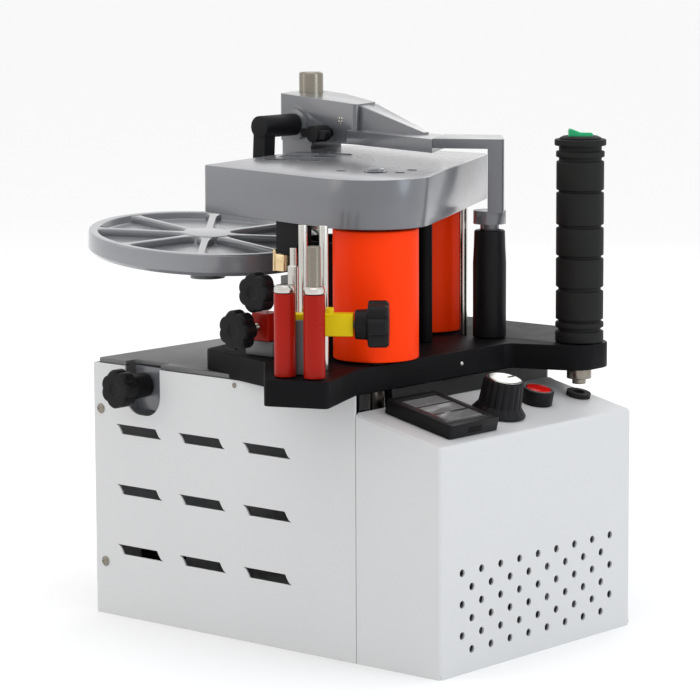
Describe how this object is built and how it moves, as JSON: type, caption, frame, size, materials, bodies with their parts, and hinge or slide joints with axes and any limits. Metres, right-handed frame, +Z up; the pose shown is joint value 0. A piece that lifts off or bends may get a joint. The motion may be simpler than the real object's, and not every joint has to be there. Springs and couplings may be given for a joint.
{
  "type": "edge banding machine",
  "caption": "Portable edge banding machine: sheet-steel cabinet, cast base with two feed rollers, glue pot, chain cover, yoke, tape tray and upright grip.",
  "frame": {"origin": "centre of the flat underside of the cabinet, on the surface that the machine stands on", "axes": "+X along the louvred side towards the sloped control end, +Y towards the upright grip side, +Z up"},
  "size_m": [0.3785, 0.3382, 0.392],
  "materials": {
    "white_paint": "white powder coat, fine texture",
    "deck_grey": "dark grey, satin",
    "black_casting": "black, satin cast aluminium",
    "grey_casting": "grey hammered paint on cast aluminium",
    "tray_aluminium": "cast and painted silver grey",
    "orange_silicone": "smooth silicone",
    "red_sleeve": "red anodised",
    "steel": "ground and polished",
    "black_plastic": "moulded, matt",
    "grip_rubber": "matt rubber",
    "yellow_paint": "yellow gloss",
    "green_lens": "translucent green",
    "red_lens": "translucent red",
    "display_window": "smoked window",
    "circuit_board": "green solder mask with components"
  },
  "bodies": {
    "frame": {"louvre_panel": "white_paint", "rear_panel": "white_paint", "back_panel": "white_paint", "bottom_plate": "white_paint", "control_cover": "white_paint", "deck_plate": "deck_grey", "guide_post": "deck_grey", "width_bar_post": "deck_grey", "tray_arm": "deck_grey", "base_casting": "black_casting", "column_sleeve": "black_casting", "cover_post_1": "black_casting", "hanging_block": "black_casting", "glue_pot": "black_casting", "gear_motor": "black_casting", "grip_core": "black_casting", "chain_cover": "grey_casting", "bearing_plate": "grey_casting", "deck_clamp": "grey_casting", "guide_block": "red_sleeve", "bearing_front": "steel", "bearing_rear": "steel", "drive_chain": "steel", "cover_post_2": "steel", "steel_rod": "steel", "red_roller_axle_1": "steel", "red_roller_axle_2": "steel", "guide_rod_1": "steel", "guide_rod_2": "steel", "pressure_pin": "steel", "controller_case": "black_plastic", "power_switch_body": "black_plastic", "grip_switch_body": "black_plastic", "power_inlet": "black_plastic", "grip_sleeve": "grip_rubber", "cable_grommet": "grip_rubber", "controller_window": "display_window", "control_board": "circuit_board"},
    "front_roller": {"feed_roller_front": "orange_silicone", "roller_shaft_front": "steel", "sprocket_front": "steel"},
    "rear_roller": {"feed_roller_rear": "orange_silicone", "roller_shaft_rear": "steel", "sprocket_rear": "steel"},
    "glue_roller": {"glue_roller": "steel"},
    "tray": {"tape_tray": "tray_aluminium"},
    "red_roller_1": {"red_roller_1": "red_sleeve"},
    "red_roller_2": {"red_roller_2": "red_sleeve"},
    "upper_knob": {"upper_guide_knob": "black_plastic"},
    "lower_knob": {"lower_guide_knob": "black_plastic"},
    "deck_knob": {"deck_knob": "black_plastic"},
    "yoke": {"yoke_arm": "grey_casting", "yoke_head": "grey_casting"},
    "clamp_lever": {"clamp_lever": "black_plastic"},
    "wing_knob": {"wing_knob": "black_plastic"},
    "width_bar": {"width_bar": "yellow_paint"},
    "width_knob": {"width_knob": "black_plastic"},
    "speed_knob": {"speed_knob": "black_plastic"},
    "power_rocker": {"power_rocker": "red_lens"},
    "grip_rocker": {"grip_rocker": "green_lens"}
  },
  "joints": [
    {"name": "front_roller_spin", "type": "hinge", "parent": "frame", "child": "front_roller", "pos_m": [0.073, -0.067, 0.25], "axis": [0, 0, 1], "continuous": true},
    {"name": "rear_roller_spin", "type": "hinge", "parent": "frame", "child": "rear_roller", "pos_m": [0.002, 0.073, 0.25], "axis": [0, 0, 1], "continuous": true},
    {"name": "glue_roller_spin", "type": "hinge", "parent": "frame", "child": "glue_roller", "pos_m": [0.03065, -0.03809, 0.25], "axis": [0, 0, 1], "continuous": true},
    {"name": "tray_spin", "type": "hinge", "parent": "frame", "child": "tray", "pos_m": [-0.1247, -0.0281, 0.28], "axis": [0.0896, -0.0309, 0.9955], "continuous": true},
    {"name": "red_roller_1_spin", "type": "hinge", "parent": "frame", "child": "red_roller_1", "pos_m": [0.078, -0.167, 0.235], "axis": [0, 0, 1], "continuous": true},
    {"name": "red_roller_2_spin", "type": "hinge", "parent": "frame", "child": "red_roller_2", "pos_m": [0.099, -0.161, 0.235], "axis": [0, 0, 1], "continuous": true},
    {"name": "upper_knob_turn", "type": "hinge", "parent": "frame", "child": "upper_knob", "pos_m": [0.0084, -0.113, 0.2538], "axis": [0, 1, 0], "continuous": true},
    {"name": "lower_knob_turn", "type": "hinge", "parent": "frame", "child": "lower_knob", "pos_m": [-0.004, -0.12, 0.227], "axis": [0, 1, 0], "continuous": true},
    {"name": "deck_knob_turn", "type": "hinge", "parent": "frame", "child": "deck_knob", "pos_m": [-0.1185, -0.123, 0.1746], "axis": [0, 1, 0], "continuous": true},
    {"name": "yoke_height", "type": "slide", "parent": "frame", "child": "yoke", "axis": [0, 0, 1], "range_m": [0, 0.015]},
    {"name": "clamp_lever_swing", "type": "hinge", "parent": "yoke", "child": "clamp_lever", "pos_m": [-0.133, 0.07, 0.354], "axis": [0, 1, 0], "range_deg": [0, 90]},
    {"name": "wing_knob_turn", "type": "hinge", "parent": "yoke", "child": "wing_knob", "pos_m": [-0.099, 0.069, 0.349], "axis": [0, 1, 0], "continuous": true},
    {"name": "width_bar_slide", "type": "slide", "parent": "frame", "child": "width_bar", "axis": [0.788, 0.6157, 0], "range_m": [-0.006, 0.01]},
    {"name": "width_knob_turn", "type": "hinge", "parent": "width_bar", "child": "width_knob", "pos_m": [0.11037, -0.11884, 0.24], "axis": [0.788, 0.6157, 0], "continuous": true},
    {"name": "speed_knob_turn", "type": "hinge", "parent": "frame", "child": "speed_knob", "pos_m": [0.132, -0.0046, 0.16676], "axis": [0.2149, 0, 0.9766], "range_deg": [-135, 135]},
    {"name": "power_rocker_tilt", "type": "hinge", "parent": "frame", "child": "power_rocker", "pos_m": [0.12952, 0.0455, 0.17836], "axis": [0.9766, 0, -0.2149], "range_deg": [-8, 8]},
    {"name": "grip_rocker_tilt", "type": "hinge", "parent": "frame", "child": "grip_rocker", "pos_m": [0.128, 0.0956, 0.3535], "axis": [-0.6561, 0.7547, 0], "range_deg": [-8, 8]}
  ],
  "couplings": [
    {"joint": "rear_roller_spin", "follows": "front_roller_spin", "ratio": 1}
  ]
}
